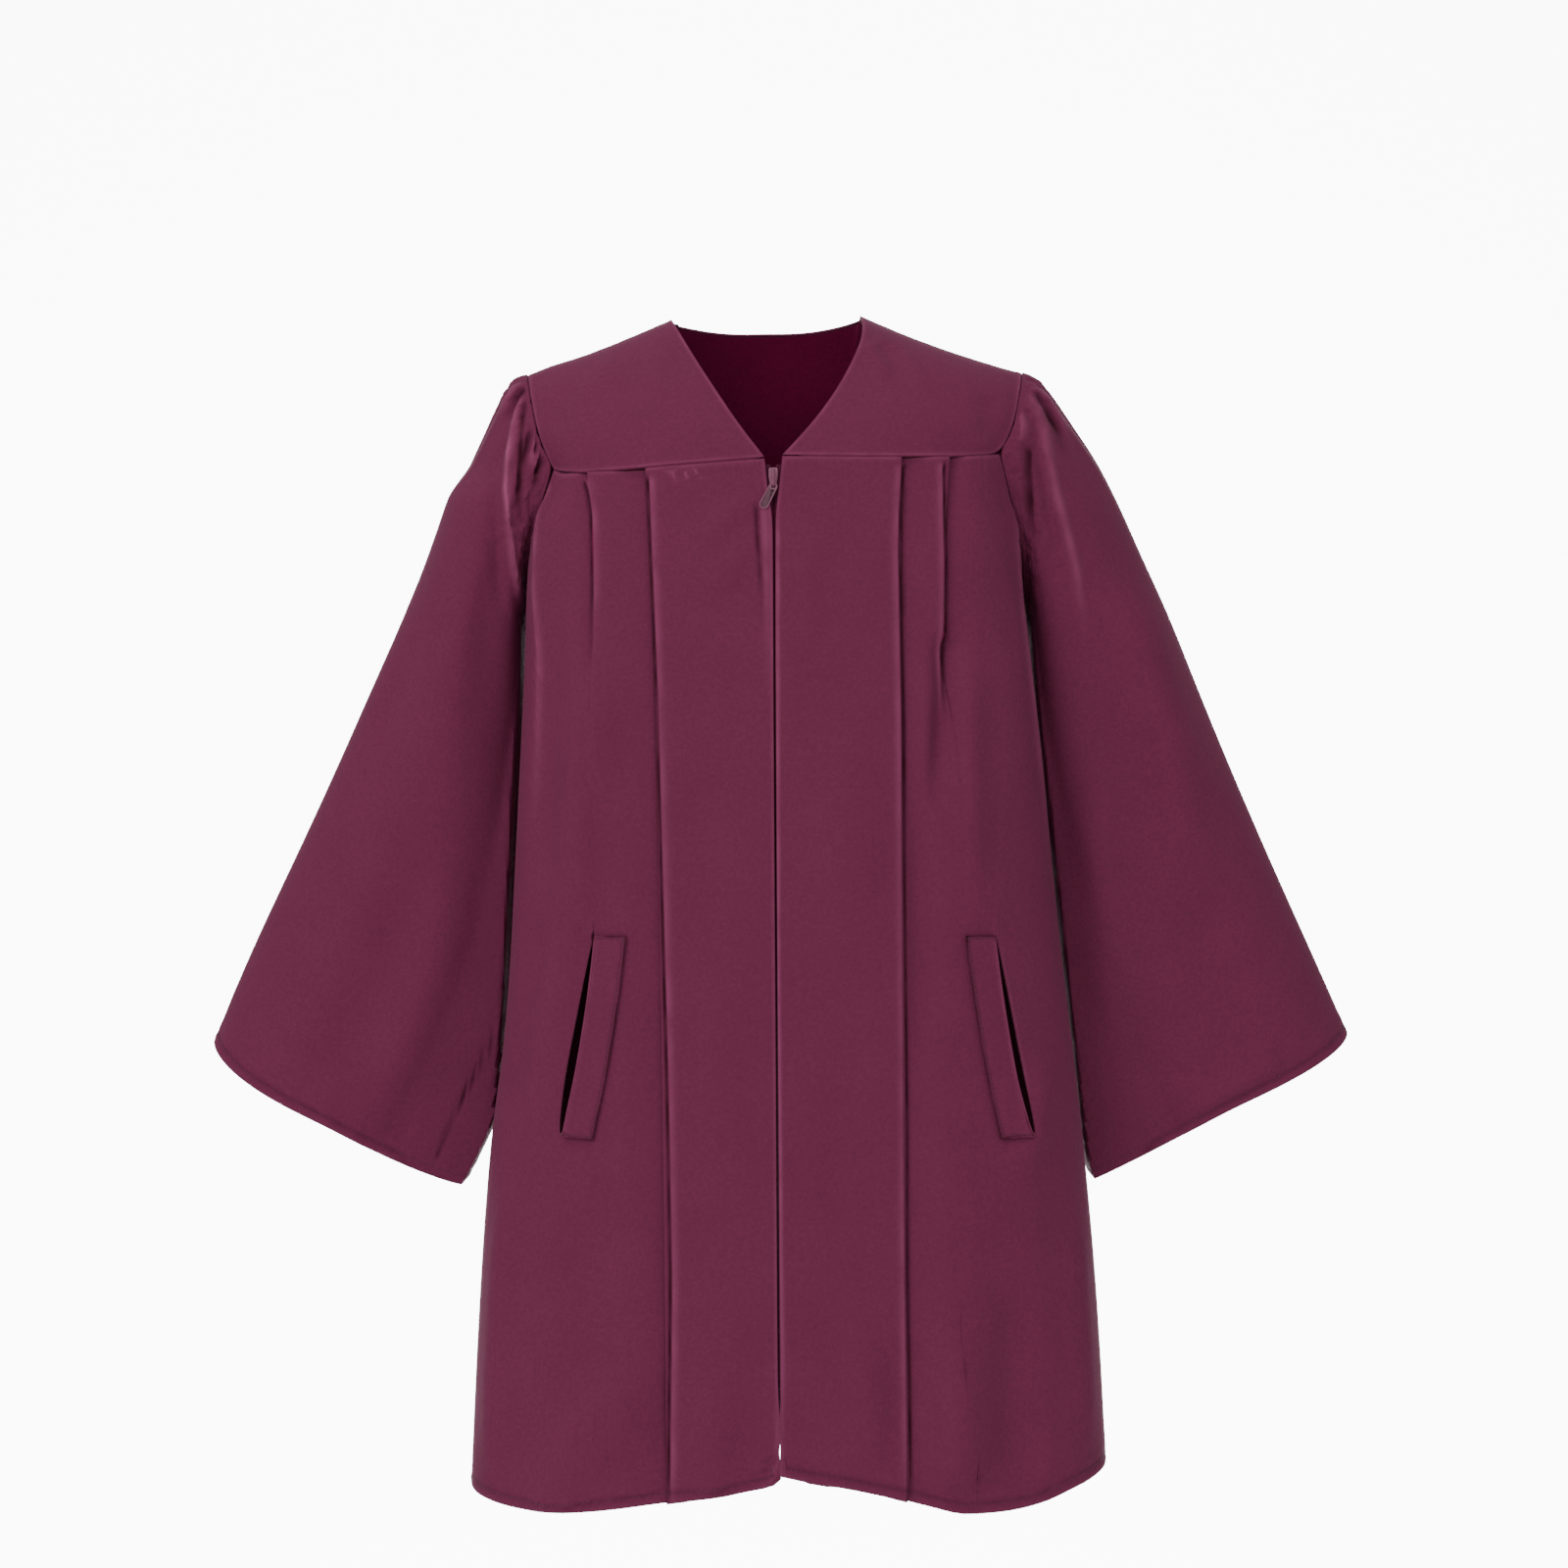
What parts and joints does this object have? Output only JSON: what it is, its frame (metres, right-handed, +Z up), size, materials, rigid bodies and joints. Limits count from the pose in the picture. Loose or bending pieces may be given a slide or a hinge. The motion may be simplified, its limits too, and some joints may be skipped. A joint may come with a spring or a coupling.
{
  "type": "graduation gown",
  "caption": "Child's graduation gown with gathered bell sleeves, V neck, front zip, knife pleats and slanted welt pockets, filled out as worn with no wearer.",
  "frame": {"origin": "midway between the two neck points, where the shoulder seams meet the neck edge", "axes": "+X to the wearer's left, -Y out of the gown's front, +Z up"},
  "size_m": [0.6283, 0.24, 0.6395],
  "materials": {
    "gown_cloth": "matte plain weave",
    "welt_cloth": "matte plain weave",
    "zip_tape": "woven tape with a coil",
    "painted_zip": "satin enamel"
  },
  "bodies": {
    "gown": {"back_panel": "gown_cloth", "back_yoke": "gown_cloth", "front_panel_left": "gown_cloth", "front_panel_right": "gown_cloth", "front_yoke_left": "gown_cloth", "front_yoke_right": "gown_cloth", "pocket_welt_left": "welt_cloth", "pocket_welt_right": "welt_cloth", "sleeve_left": "gown_cloth", "sleeve_right": "gown_cloth", "zip_slider": "painted_zip", "zip_tape_left": "zip_tape", "zip_tape_right": "zip_tape"},
    "zip_pull": {"zip_pull": "painted_zip"}
  },
  "joints": [
    {"name": "zip_pull_hinge", "type": "hinge", "parent": "gown", "child": "zip_pull", "pos_m": [-0.003, -0.08638, -0.09677], "axis": [-1, 0, 0], "range_deg": [0, 90]}
  ]
}
